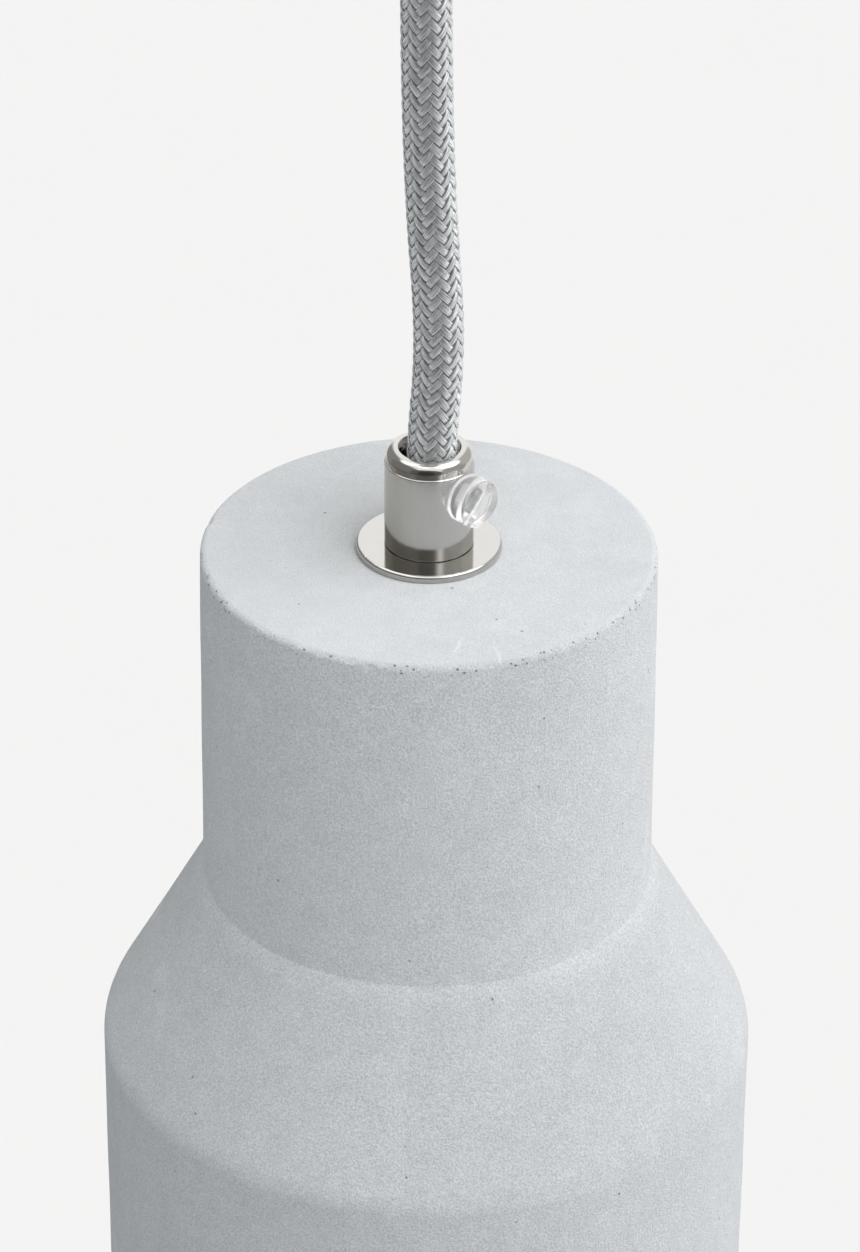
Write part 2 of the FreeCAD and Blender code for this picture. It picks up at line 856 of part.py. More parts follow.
def holder_metalwork():
    """The screw shell, centre contact, terminals and their screws."""
    mouth = holder_mouth()
    outer, wall = size.shell_radius, size.shell_wall
    shell = place(turned("screw_shell", [
        (outer - wall, 4), (outer, 4), (outer, size.ceramic_floor), (8, size.ceramic_floor),
        (8, size.ceramic_floor - wall), (outer - wall, size.ceramic_floor - wall),
    ]), z=mouth)
    contact = place(turned("centre_contact", [
        (0, size.ceramic_floor - 0.6), (3.5, size.ceramic_floor - 0.6), (3.5, size.ceramic_floor),
        (1.5, size.ceramic_floor), (1.5, size.ceramic_top), (0, size.ceramic_top),
    ]), z=mouth)
    posts, screws = [], []
    for side in ENDS:
        wide, deep = size.post_width, size.post_depth
        block = box(f"post{side + 2}", deep, wide, wide, x=-deep / 2, y=-wide / 2)
        wire_hole = cylinder(
            f"post_hole{side + 2}", 1.0, wide + 2, z=2.0, y=-wide / 2 - 1, rotation=pointing((0, 1, 0)),
        )
        tap = cylinder(
            f"post_tap{side + 2}", size.pinch_radius + size.running_gap, deep, z=2.0, y=1.0,
        )
        post = less_all(f"terminal_post{side + 2}", block, wire_hole, tap)
        posts.append(place(post, x=size.post_spread * side, z=mouth + size.ceramic_top))
        screw = slotted_screw(
            f"post_screw{side + 2}", size.pinch_radius, 3.4, 2.2, 1.6,
            size.fine_slot_width, size.fine_slot_depth,
        )
        screws.append(place(
            screw, x=size.post_spread * side, y=1.0, z=mouth + size.ceramic_top + 2.75,
        ))
    return [
        shell, contact, grouped("holder_terminals", posts), grouped("holder_terminal_screws", screws),
    ]


def earth_terminal():
    """The earth screw on the lampholder cap's inner wall."""
    screw = slotted_screw(
        "holder_earth_screw", size.fixing_radius, 2.8, size.fixing_head_radius, 1.6,
        size.wide_slot_width, size.fine_slot_depth,
    )
    return place(
        screw, y=size.holder_radius - 0.3, z=holder_mouth() + size.earth_height,
        rotation=pointing((0, -1, 0)),
    )


def holder_cores():
    """The three cores from the cord's lower end to the lampholder's terminals."""
    start = -size.cord_end_depth.value
    mouth = (holder_mouth() + size.hanging_drop).value
    leave = (holder_top() + size.hanging_drop).value - 7.5
    post = mouth + size.ceramic_top.value + 2.0
    ends = {
        "brown": [(-9.0, -7.5, post), (-9.0, -3.1, post)],
        "blue": [(9.0, -7.5, post), (9.0, -3.1, post)],
        "earth": [(0.0, 10.5, mouth + 48.4), (0.0, 12.9, mouth + 46.6)],
    }
    cores = []
    for name, _, _, turn in CORES:
        x, y = core_seat(turn, size.core_radius.value)
        points = [(x, y, start), (x, y, leave - 1.0), *ends[name]]
        tip = 4.0 if name != "earth" else 1.2
        cores.append(cored(f"holder_core_{name}", points, tip, -size.hanging_drop.value))
    return cores


# ---------- bulb ----------

THREAD_TURNS = 5
THREAD_PITCH = 3.63
THREAD_DEPTH = 0.8
LED_COUNT = 8


def bulb_cap():
    """The bulb's screw cap, with its thread as rounded rings."""
    radius, wall = size.cap_radius, size.cap_wall
    outline = [(radius - THREAD_DEPTH - wall, 0), (radius - THREAD_DEPTH, 0)]
    for turn in range(THREAD_TURNS):
        foot = 1.6 + THREAD_PITCH * turn
        outline += [
            (radius - THREAD_DEPTH, foot), (radius, foot + 1.2),
            (radius, foot + 1.8), (radius - THREAD_DEPTH, foot + 3.0),
        ]
    top = 22.0
    outline += [(radius - THREAD_DEPTH, top), (radius - THREAD_DEPTH - wall, top)]
    return place(turned("bulb_cap", outline), z=holder_mouth())


def bulb_cap_end():
    """The black insulator and the solder contact at the cap's end."""
    inner = size.cap_radius - THREAD_DEPTH - size.cap_wall
    insulator = place(turned("bulb_insulator", [
        (0, 20), (inner, 20), (inner, 22), (5.0, 24.8), (0, 24.8),
    ]), z=holder_mouth())
    contact = place(turned("bulb_contact", [
        (0, 24.8), (4.6, 24.8), (3.6, 26.0), (0, 26.0),
    ]), z=holder_mouth())
    return [insulator, contact]


def bulb_housing():
    """The bulb's white plastic body between cap and globe."""
    neck, joint = size.cap_radius - THREAD_DEPTH, -size.bulb_joint_drop
    rim = 24.0
    housing = turned("bulb_housing", [
        (neck, 0), (neck + 0.6, -0.4), (neck + 1.7, -6), (18.0, -16), (22.6, -26), (rim, joint),
        (rim - 1.6, joint), (21.0, -26), (16.4, -16), (neck - 0.2, -6), (neck - 1.8, -0.4),
        (neck - 1.8, 0),
    ])
    return place(housing, z=holder_mouth())


def bulb_globe():
    """The opal globe, a hollow sphere cut flat where it meets the housing."""
    radius, middle = size.globe_radius, -size.globe_drop
    outer = doc.addObject("Part::Sphere", "globe_outer")
    bind(outer, Radius=radius)
    inner = doc.addObject("Part::Sphere", "globe_inner")
    bind(inner, Radius=radius - size.globe_wall)
    above = cylinder("globe_top", radius + 1, radius, z=-size.bulb_joint_drop - middle)
    globe = less_all("bulb_globe", outer, inner, above)
    return place(globe, z=holder_mouth() + middle)


def bulb_light_source():
    """The LED board with its emitters, and the driver board above it."""
    joint = holder_mouth() - size.bulb_joint_drop
    thick, wide = size.led_board_thickness, size.led_width
    board = cylinder("led_board", size.led_board_radius, thick, z=joint)
    emitters = []
    for number in range(LED_COUNT):
        angle = math.radians(360 / LED_COUNT * number)
        emitters.append(box(
            f"emitter{number}", wide, wide, size.led_height,
            x=size.led_ring_radius * math.cos(angle) - wide / 2,
            y=size.led_ring_radius * math.sin(angle) - wide / 2,
            z=joint - size.led_height,
        ))
    driver = box(
        "driver_board", size.driver_width, thick, size.driver_height,
        x=-size.driver_width / 2, y=-thick / 2, z=joint + 6,
    )
    return [board, grouped("led_emitters", emitters), driver]


# ---------- the whole lamp ----------


def build():
    """Every piece of the lamp, from the ceiling down."""
    return [
        ceiling_bracket(), *terminal_block(), canopy(), canopy_side_screws(), *ceiling_clamp(),
        ceiling_cord_end(), *ceiling_cores(), power_cord(), *lamp_clamp(), concrete_shade(),
        holder_dome(), holder_skirt(), holder_ceramic(), *holder_metalwork(), earth_terminal(),
        *holder_cores(), bulb_cap(), *bulb_cap_end(), bulb_housing(), bulb_globe(),
        *bulb_light_source(),
    ]


def check(pieces):
    """Stop if any object failed, or any piece's shape is missing or broken."""
    failed = [o.Label for o in doc.Objects if {"Invalid", "Error"} & set(o.State)]
    if failed:
        raise RuntimeError(f"objects that failed: {failed}")
    for piece in pieces:
        if piece.Shape.isNull() or not piece.Shape.isValid() or not piece.Shape.Solids:
            raise RuntimeError(f"{piece.Label} has no sound shape")


pieces = build()
doc.recompute()
check(pieces)
os.makedirs("parts", exist_ok=True)
for piece in pieces:
    piece.Shape.exportStep(f"parts/{piece.Label}.step")
print(len(pieces), "pieces written")
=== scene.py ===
"""The looks of a concrete pendant lamp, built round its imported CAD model. Lengths are in metres."""

import json
import math
import random

import bmesh
import bpy
import numpy as np
from mathutils import Matrix, Vector, noise


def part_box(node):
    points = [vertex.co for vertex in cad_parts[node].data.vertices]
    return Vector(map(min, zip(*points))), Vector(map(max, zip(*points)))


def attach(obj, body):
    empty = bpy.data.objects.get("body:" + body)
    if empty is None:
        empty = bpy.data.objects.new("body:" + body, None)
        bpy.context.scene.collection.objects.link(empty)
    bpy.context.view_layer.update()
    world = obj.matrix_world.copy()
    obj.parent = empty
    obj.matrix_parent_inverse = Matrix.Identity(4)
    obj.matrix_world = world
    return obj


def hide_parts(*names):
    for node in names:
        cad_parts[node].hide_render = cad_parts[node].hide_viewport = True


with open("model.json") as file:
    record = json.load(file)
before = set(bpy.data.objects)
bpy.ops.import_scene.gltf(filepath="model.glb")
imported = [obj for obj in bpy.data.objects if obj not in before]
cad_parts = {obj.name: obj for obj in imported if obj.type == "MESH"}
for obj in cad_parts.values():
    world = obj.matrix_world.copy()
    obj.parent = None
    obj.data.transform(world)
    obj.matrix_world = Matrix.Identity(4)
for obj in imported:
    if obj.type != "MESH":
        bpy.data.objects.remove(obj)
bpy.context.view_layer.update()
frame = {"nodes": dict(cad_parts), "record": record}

MM = 0.001
FULL_TURN = 2 * math.pi

# ---------- driving sizes ----------

CONCRETE_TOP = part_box("concrete_shade")[1].z
NECK_RADIUS = 33.0 * MM
NECK_FOOT_RADIUS = 33.35 * MM
NECK_HEIGHT = 53.6 * MM
BODY_RADIUS = 48.8 * MM
SHOULDER_HEIGHT = 27.9 * MM
SHADE_WALL = 8.0 * MM
SHADE_ROOF = 12.0 * MM
TOP_EDGE = 1.15 * MM
SHOULDER_EDGE = 7.0 * MM
RIM_EDGE = 1.5 * MM
INNER_EDGE = 3 * MM
# About the tangent of half the shoulder's slope, which keeps the sloping wall's thickness even.
INNER_DROP_SHARE = 0.26
SHADE_FACETS = 360
TUBE_HOLE = 5.3 * MM
NECK_FOOT = CONCRETE_TOP - NECK_HEIGHT
BODY_TOP = NECK_FOOT - SHOULDER_HEIGHT

GRIP_RADIUS = 6.43 * MM
GRIP_HEIGHT = 15.4 * MM
GRIP_WALL_HEIGHT = 13.2 * MM
GRIP_SEAM = 0.35 * MM
GRIP_MOUTH = 4.5 * MM
GRIP_THROAT = 3.9 * MM
GRIP_THROAT_DROP = 1.3 * MM
CANOPY_GRIP_THROAT = GRIP_MOUTH - 0.02 * MM
GRIP_FACETS = 192
GRIP_TAP = 5.0 * MM
GRIP_TAP_DEPTH = 8.0 * MM
CLAMP_RADIUS = 1.95 * MM
RUNNING_GAP = 0.05 * MM

CORD_DIAMETER = 7.2 * MM
STRANDS_EACH_WAY = 14
BRAID_LAY = 26.2 * MM
THREADS_PER_STRAND = 3

# ---------- camera ----------

VIEW_DOWN = math.radians(31.09)
VIEW_ROLL = math.radians(0.344)
VIEW_DISTANCE = 765.2 * MM
VIEW_LOWERED = 11.43 * MM
VIEW_ASIDE = 0.21 * MM
LENS = 153.5


def make_camera():
    """Looks down on the neck from the front, from a fixed distance to the concrete's top."""
    ahead = Vector((0, math.cos(VIEW_DOWN), -math.sin(VIEW_DOWN)))
    up = Vector((0, math.sin(VIEW_DOWN), math.cos(VIEW_DOWN)))
    right = Vector((1, 0, 0))
    aim = Vector((0, 0, CONCRETE_TOP))
    place = aim - ahead * VIEW_DISTANCE - up * VIEW_LOWERED + right * VIEW_ASIDE
    turn = Matrix((right, up, -ahead)).transposed() @ Matrix.Rotation(VIEW_ROLL, 3, "Z")
    camera = bpy.data.objects.new("camera", bpy.data.cameras.new("camera"))
    camera.data.lens = LENS
    camera.data.clip_start = 0.01
    camera.data.clip_end = 300
    camera.matrix_world = Matrix.LocRotScale(place, turn, None)
    bpy.context.collection.objects.link(camera)
    bpy.context.scene.camera = camera


# ---------- node trees ----------


class Nodes:
    """Short names for adding nodes to one tree."""

    def __init__(self, tree):
        self.tree = tree

    def feed(self, socket, value):
        if isinstance(value, bpy.types.NodeSocket):
            self.tree.links.new(value, socket)
        else:
            socket.default_value = value

    def add(self, kind, inputs, output=0, **settings):
        """Adds a node, feeds its inputs and returns one of its outputs."""
        node = self.tree.nodes.new("ShaderNode" + kind)
        for name, value in settings.items():
            setattr(node, name, value)
        for name, value in inputs.items():
            self.feed(node.inputs[name], value)
        return node.outputs[output]

    def math(self, operation, first, second=0.0):
        return self.add("Math", {0: first, 1: second}, operation=operation)

    def spread(self, value, low, high, to_low=0.0, to_high=1.0):
        """value moved from one range to another, with soft ends."""
        ends = {"From Min": low, "From Max": high, "To Min": to_low, "To Max": to_high}
        return self.add("MapRange", {"Value": value, **ends}, interpolation_type="SMOOTHSTEP")

    def mixed(self, share, first, second):
        """A colour between two others."""
        return self.add("Mix", {0: share, 6: first, 7: second}, 2, data_type="RGBA")

    def tinted(self, colour, factor):
        """colour times a grey factor."""
        grey = self.add("CombineColor", {0: factor, 1: factor, 2: factor})
        return self.add(
            "Mix", {0: 1.0, 6: colour, 7: grey}, 2, data_type="RGBA", blend_type="MULTIPLY"
        )

    def place(self, stretch=(1, 1, 1)):
        """Where a point is on the piece, stretched along each axis."""
        where = self.add("TexCoord", {}, "Object")
        return self.add("Mapping", {"Vector": where, "Scale": stretch})

    def grain(self, size, detail=2.0, rough=0.5, stretch=(1, 1, 1), vector=None):
        """Noise round 0.5 whose patches are about size across."""
        where = vector or self.place(stretch)
        return self.add(
            "TexNoise", {"Vector": where, "Scale": 1 / size, "Detail": detail, "Roughness": rough}
        )

    def spots(self, pitch, radius, share):
        """1 inside round spots scattered about pitch apart, of which only a share are kept."""
        cells = {"Vector": self.place(), "Scale": 1 / pitch}
        reach = self.add("TexVoronoi", cells, "Distance")
        chance = self.add("SeparateColor", {0: self.add("TexVoronoi", cells, "Color")}, 0)
        inside = self.spread(reach, radius / pitch, radius / pitch * 0.4)
        return self.math("MULTIPLY", inside, self.math("LESS_THAN", chance, share))

    def streak(self, middle, turn):
        """1 along a thin smear 9 mm long on a flat top, by its middle in millimetres and its turn."""
        where = self.add("TexCoord", {}, "Object")
        shape = {"Location": (middle[0] * MM, middle[1] * MM, CONCRETE_TOP)}
        shape["Rotation"] = (0, 0, math.radians(turn))
        shape["Scale"] = (0.45 * MM, 4.5 * MM, 3 * MM)
        local = self.add("Mapping", {"Vector": where, **shape}, vector_type="TEXTURE")
        bent = self.add("TexNoise", {"Vector": local, "Scale": 1.2, "Detail": 3.0})
        core = self.add("TexGradient", {"Vector": local}, "Fac", gradient_type="SPHERICAL")
        return self.math("MULTIPLY", self.spread(core, 0.0, 0.7), self.spread(bent, 0.3, 0.6))


def grey(value):
    return (value, value, value, 1.0)


class Paint(Nodes):
    """A new material with its Principled shader's fixed values set."""

    def __init__(self, name, **values):
        self.material = bpy.data.materials.new(name)
        self.material.use_nodes = True
        super().__init__(self.material.node_tree)
        self.shader = self.tree.nodes["Principled BSDF"]
        for socket, value in values.items():
            self.shader.inputs[socket.replace("_", " ")].default_value = value

    def colour(self, value):
        self.feed(self.shader.inputs["Base Color"], value)

    def rough(self, value):
        self.feed(self.shader.inputs["Roughness"], value)

    def bump(self, height, depth):
        """Raises the surface by depth where height goes from 0 to 1."""
        normal = self.add("Bump", {"Height": height, "Distance": depth, "Strength": 1.0})
        previous = self.shader.inputs["Normal"]
        if previous.is_linked:
            self.tree.links.new(previous.links[0].from_socket, normal.node.inputs["Normal"])
        self.tree.links.new(normal, previous)


# ---------- materials ----------


def concrete():
    """Cast grey concrete: sandy grain with painted relief shade that deepens it on the walls, mottling,
    lime bloom, pinholes, a pitted top edge, two smears.
    """
    paint = Paint("concrete", Specular_IOR_Level=0.25, Diffuse_Roughness=0.6)
    sand = paint.grain(0.30 * MM, 2.0, 0.75)
    clouds = paint.grain(4 * MM, 5.0, 0.7)
    broad = paint.grain(35 * MM, 1.0)
    bloom = paint.spread(paint.grain(14 * MM, 5.0, 0.6), 0.60, 0.72)
    pinholes = paint.spots(3.1 * MM, 0.26 * MM, 0.24)
    dark_grains = paint.spots(1.2 * MM, 0.19 * MM, 0.20)
    # Painted shade: the sand grain's tone swings wider on the walls than on the flat top, standing in for
    # fine relief shaded by light grazing the walls; the top also comes out a little lighter on average.
    upward = paint.add("SeparateXYZ", {0: paint.add("TexCoord", {}, "Normal")}, 2)
    grain_and_painted_relief_low = paint.spread(upward, 0.5, 0.95, 0.80, 0.93)
    tone = paint.spread(sand, 0.25, 0.75, grain_and_painted_relief_low, paint.spread(upward, 0.5, 0.95, 1.18, 1.10))
    height = paint.add("SeparateXYZ", {0: paint.place()}, 2)
    shoulder_tone = paint.spread(height, NECK_FOOT - 4 * MM, NECK_FOOT, 0.92, 1.0)
    body_tone = paint.spread(height, BODY_TOP - 1 * MM, BODY_TOP + 1 * MM, 1.02, 1.0)
    near_edge = paint.math(
        "MULTIPLY",
        paint.spread(height, CONCRETE_TOP - 2.0 * MM, CONCRETE_TOP - 1.2 * MM),
        paint.spread(height, CONCRETE_TOP - 0.22 * MM, CONCRETE_TOP - 0.4 * MM),
    )
    edge_pits = paint.math("MULTIPLY", paint.spots(0.8 * MM, 0.25 * MM, 0.55), near_edge)
    streaks = paint.math("MAXIMUM", paint.streak((4.4, -26.5), -16), paint.streak((9.6, -29.0), 10))
    mottling = paint.spread(clouds, 0.25, 0.75, 0.965, 1.035)
    drift = paint.spread(broad, 0.25, 0.75, 0.98, 1.02)
    for factor in (mottling, drift, shoulder_tone, body_tone):
        tone = paint.math("MULTIPLY", tone, factor)
    base = paint.tinted((0.568, 0.581, 0.592, 1.0), tone)
    base = paint.mixed(paint.math("MULTIPLY", bloom, 0.16), base, grey(0.80))
    base = paint.mixed(paint.math("MULTIPLY", dark_grains, 0.35), base, grey(0.25))
    base = paint.mixed(paint.math("MULTIPLY", pinholes, 0.55), base, grey(0.16))
    base = paint.mixed(paint.math("MULTIPLY", edge_pits, 0.7), base, grey(0.12))
    base = paint.mixed(paint.math("MULTIPLY", streaks, 0.30), base, grey(0.86))
    paint.colour(base)
    paint.rough(paint.spread(sand, 0.2, 0.8, 0.82, 0.97))
    paint.bump(sand, 0.17 * MM)
    paint.bump(clouds, 0.05 * MM)
    paint.bump(paint.math("MAXIMUM", pinholes, edge_pits), -0.15 * MM)
    return paint.material


def nickel():
    """Polished nickel plate with faint handling marks, a little duller on its walls, with painted shade
    darkening the walls down one side.
    """
    paint = Paint("nickel", Metallic=1.0)
    haze = paint.grain(2.5 * MM, 4.0, 0.6)
    dust = paint.spots(0.9 * MM, 0.07 * MM, 0.10)
    facing = paint.add("TexCoord", {}, "Normal")
    sideways = paint.add("SeparateXYZ", {0: facing}, 0)
    upward = paint.add("SeparateXYZ", {0: facing}, 2)
    wall = paint.spread(paint.math("ABSOLUTE", upward), 0.3, 0.1)
    # Painted shade: the walls' colour darkens towards the -X side, standing in for darker reflections
    # there.
    painted_side_shade = paint.math("MULTIPLY", wall, paint.spread(sideways, 0.75, -0.85))
    plate_tone = paint.mixed(haze, (0.655, 0.648, 0.622, 1), (0.690, 0.683, 0.660, 1))
    paint.colour(paint.mixed(painted_side_shade, plate_tone, (0.470, 0.455, 0.418, 1)))
    gloss = paint.math("ADD", paint.spread(haze, 0.3, 0.8, 0.06, 0.12), dust)
    paint.rough(paint.math("ADD", gloss, paint.math("MULTIPLY", wall, 0.07)))
    paint.bump(paint.grain(1.6 * MM, 1.0), 0.004 * MM)
    return paint.material


def nickel_satin():
    """Satin nickel, spun: its fine lines run round the lamp's axis on walls and flats alike."""
    paint = Paint("nickel_satin", Metallic=1.0)
    where = paint.place()
    flat = paint.add("VectorMath", {0: where, 1: (1, 1, 0)}, 0, operation="MULTIPLY")
    radius = paint.add("VectorMath", {0: flat}, "Value", operation="LENGTH")
    profile = paint.add("CombineXYZ", {0: radius, 2: paint.add("SeparateXYZ", {0: where}, 2)})
    brushing = paint.grain(0.35 * MM, 2.0, 0.6, vector=profile)
    haze = paint.grain(12 * MM, 3.0)
    paint.colour(paint.mixed(haze, (0.58, 0.57, 0.54, 1), (0.68, 0.67, 0.63, 1)))
    paint.rough(paint.spread(brushing, 0.25, 0.75, 0.24, 0.40))
    paint.bump(brushing, 0.006 * MM)
    return paint.material


def zinc_steel():
    """Zinc-plated steel with dull patches and fine rolling lines."""
    paint = Paint("zinc_steel", Metallic=1.0)
    patches = paint.grain(4 * MM, 4.0, 0.6)
    lines = paint.grain(0.4 * MM, 2.0, 0.6, (0.05, 1.0, 1.0))
    paint.colour(paint.mixed(patches, (0.50, 0.52, 0.54, 1), (0.70, 0.71, 0.70, 1)))
    paint.rough(paint.spread(patches, 0.3, 0.7, 0.24, 0.45))
    paint.bump(lines, 0.008 * MM)
    return paint.material


def clear_plastic():
    """Clear moulded plastic with faint flow ripples."""
    paint = Paint(
        "clear_plastic", Transmission_Weight=0.86, IOR=1.49, Specular_IOR_Level=0.5,
    )
    flow = paint.grain(1.1 * MM, 2.0)
    paint.colour(paint.mixed(flow, grey(0.97), grey(1.0)))
    paint.rough(paint.spread(flow, 0.3, 0.7, 0.06, 0.26))
    paint.bump(flow, 0.05 * MM)
    return paint.material


# Each strand starts RANK_STEP further along the yarn map's second axis and fills 1 of it; the
# strand's visible top is the first TOP_SHARE.
RANK_STEP = 3.0
TOP_SHARE = 0.75


def cord_braid():
    """Grey polyester yarn: fine filaments along each strand, tone by strand, soft sheen, with painted
    sheen towards the outline and painted shade in the grooves.
    """
    paint = Paint(
        "cord_braid", Sheen_Weight=0.6, Sheen_Roughness=0.3, Specular_IOR_Level=0.9,
        Anisotropic=0.85, Anisotropic_Rotation=0.25,
    )
    lay = paint.add("UVMap", {}, uv_map="yarn")
    filaments = paint.grain(1.0, 2.0, 0.6, vector=paint.add(
        "Mapping", {"Vector": lay, "Scale": (0.5, 13.0, 1.0)}
    ))
    # Painted sheen: the colour lightens where the cord turns away from the view and darkens where it faces
    # it.
    facing = paint.add("LayerWeight", {"Blend": 0.5}, "Facing")
    strand_tone = paint.grain(1.0, 0.0, vector=paint.add(
        "Mapping", {"Vector": lay, "Scale": (0.12, 0.9, 1.0)}
    ))
    tone = paint.math(
        "MULTIPLY", paint.spread(filaments, 0.28, 0.72, 0.45, 1.5),
        paint.spread(strand_tone, 0.2, 0.8, 0.88, 1.12),
    )
    across = paint.add("SeparateXYZ", {0: lay}, 1)
    rank = paint.math("FRACT", paint.math("DIVIDE", across, RANK_STEP))
    top = TOP_SHARE / RANK_STEP
    from_middle = paint.math("ABSOLUTE", paint.math("SUBTRACT", rank, top / 2))
    # Painted shade: each strand's colour darkens towards its edges, where it dips into the grooves between
    # strands.
    painted_groove_shade = paint.spread(from_middle, top * 0.34, top * 0.5, 1.0, 0.35)
    for factor in (paint.spread(facing, 0.02, 0.38, 0.66, 1.78), painted_groove_shade):
        tone = paint.math("MULTIPLY", tone, factor)
    paint.colour(paint.tinted((0.380, 0.386, 0.388, 1.0), tone))
    paint.rough(paint.spread(filaments, 0.2, 0.8, 0.28, 0.5))
    paint.bump(filaments, 0.06 * MM)
    paint.feed(
        paint.shader.inputs["Tangent"],
        paint.add("Tangent", {}, direction_type="UV_MAP", uv_map="yarn"),
    )
    return paint.material


def moulded(name, first, second, rough=(0.35, 0.5), texture=0.6 * MM, depth=0.01 * MM, **values):
    """Moulded plastic, ceramic or the like: two near tones, uneven gloss and a fine texture."""
    paint = Paint(name, **values)
    cloud = paint.grain(6 * MM, 3.0)
    fine = paint.grain(texture, 2.0)
    paint.colour(paint.mixed(cloud, first, second))
    paint.rough(paint.spread(cloud, 0.3, 0.7, *rough))
    paint.bump(fine, depth)
    return paint.material


def white_plastic():
    return moulded("white_plastic", (0.74, 0.74, 0.71, 1), (0.80, 0.80, 0.77, 1))


def brass():
    return moulded(
        "brass", (0.72, 0.52, 0.22, 1), (0.84, 0.64, 0.32, 1), (0.22, 0.38), Metallic=1.0
    )


def brown_core():
    return moulded("brown_core", (0.11, 0.040, 0.018, 1), (0.15, 0.058, 0.026, 1))


def blue_core():
    return moulded("blue_core", (0.02, 0.10, 0.36, 1), (0.03, 0.13, 0.44, 1))


def earth_core():
    """Green insulation with a yellow stripe down one side."""
    paint = Paint("earth_core")
    outward = paint.add("TexCoord", {}, "Normal")
    across = paint.add(
        "VectorMath", {0: outward, 1: (0.8, 0.5, 0.33)}, "Value", operation="DOT_PRODUCT"
    )
    stripe = paint.spread(across, 0.12, 0.18)
    cloud = paint.grain(4 * MM, 3.0)
    paint.colour(paint.mixed(stripe, (0.03, 0.22, 0.05, 1), (0.78, 0.62, 0.03, 1)))
    paint.rough(paint.spread(cloud, 0.3, 0.7, 0.35, 0.5))
    paint.bump(paint.grain(0.6 * MM), 0.01 * MM)
    return paint.material


def ceramic():
    return moulded(
        "ceramic", (0.76, 0.75, 0.71, 1), (0.84, 0.83, 0.80, 1), (0.22, 0.34),
        0.5 * MM, 0.02 * MM, Coat_Weight=0.3, Coat_Roughness=0.15,
    )


def aluminium():
    return moulded(
        "aluminium", (0.66, 0.66, 0.67, 1), (0.78, 0.78, 0.78, 1), (0.20, 0.34), Metallic=1.0
    )


def black_glass():
    return moulded(
        "black_glass", grey(0.012), grey(0.022), (0.08, 0.16), Coat_Weight=0.5, Coat_Roughness=0.05
    )


def solder():
    return moulded(
        "solder", (0.42, 0.42, 0.43, 1), (0.60, 0.60, 0.61, 1), (0.32, 0.55), 0.8 * MM, 0.06 * MM,
        Metallic=1.0,
    )


def opal():
    return moulded(
        "opal", (0.86, 0.86, 0.83, 1), (0.90, 0.90, 0.875, 1), (0.30, 0.42), 0.9 * MM, 0.004 * MM,
        Subsurface_Weight=0.35, Subsurface_Scale=0.004,
    )


def aluminium_board():
    return moulded("aluminium_board", (0.80, 0.80, 0.78, 1), (0.86, 0.86, 0.84, 1), (0.3, 0.45))


def phosphor():
    return moulded("phosphor", (0.80, 0.62, 0.12, 1), (0.88, 0.72, 0.20, 1), (0.45, 0.6))


def circuit_board():
    return moulded("circuit_board", (0.02, 0.13, 0.05, 1), (0.035, 0.18, 0.07, 1), (0.3, 0.45))


def pale_floor():
    paint = Paint("pale_floor", Specular_IOR_Level=0.0)
    paler = [tone + 0.004 for tone in FLOOR_TONE]
    paint.colour(paint.mixed(paint.grain(0.4, 2.0), (*FLOOR_TONE, 1), (*paler, 1)))
    paint.rough(1.0)
    return paint.material


MATERIAL_MAKERS = (
    concrete, nickel, nickel_satin, zinc_steel, clear_plastic, cord_braid, white_plastic, brass,
    brown_core, blue_core, earth_core, ceramic, aluminium, black_glass, solder, opal,
    aluminium_board, phosphor, circuit_board,
)

# ---------- light and stage ----------

BACKDROP = 0.888
SEEN_THROUGH = 1.5
SKY = 0.605
LOW = 0.570
KEY_STRENGTH = 2.80
KEY_SPREAD = math.radians(76)
KEY_FROM = Vector((0.500, -0.285, 0.818))
FLOOR_TONE = (0.668, 0.661, 0.655)
FLOOR_HEIGHT = -3.2
FLOOR_REACH = 100


def towards(azimuth, elevation):
    """A direction: azimuth 0 is the viewer's side and 90 the right, both in degrees."""
    turn, rise = math.radians(azimuth), math.radians(elevation)
    return (
        math.sin(turn) * math.cos(rise), -math.cos(turn) * math.cos(rise), math.sin(rise)
    )


# What polished metal mirrors, over a bright room: (azimuth, elevation, inner and outer angle, colour).
ROOM_BRIGHTNESS = 1.12
ROOM_FLOOR = 0.9
ROOM_PATCHES = (
    (70, 6, 34, 46, (0.42, 0.41, 0.39, 1)),
    (125, 20, 24, 36, (0.58, 0.57, 0.55, 1)),
    (-120, 10, 34, 48, (0.30, 0.285, 0.27, 1)),
    (-70, 6, 38, 50, (0.22, 0.21, 0.20, 1)),
    (-8, 0, 36, 46, (0.13, 0.124, 0.118, 1)),
    (-8, 2, 16, 28, (0.05, 0.048, 0.046, 1)),
    (-110, 62, 10, 20, (1.6, 1.6, 1.6, 1)),
    (84, 60, 18, 28, (3.0, 3.0, 3.0, 1)),
    (-30, 76, 8, 16, (1.8, 1.8, 1.8, 1)),
)


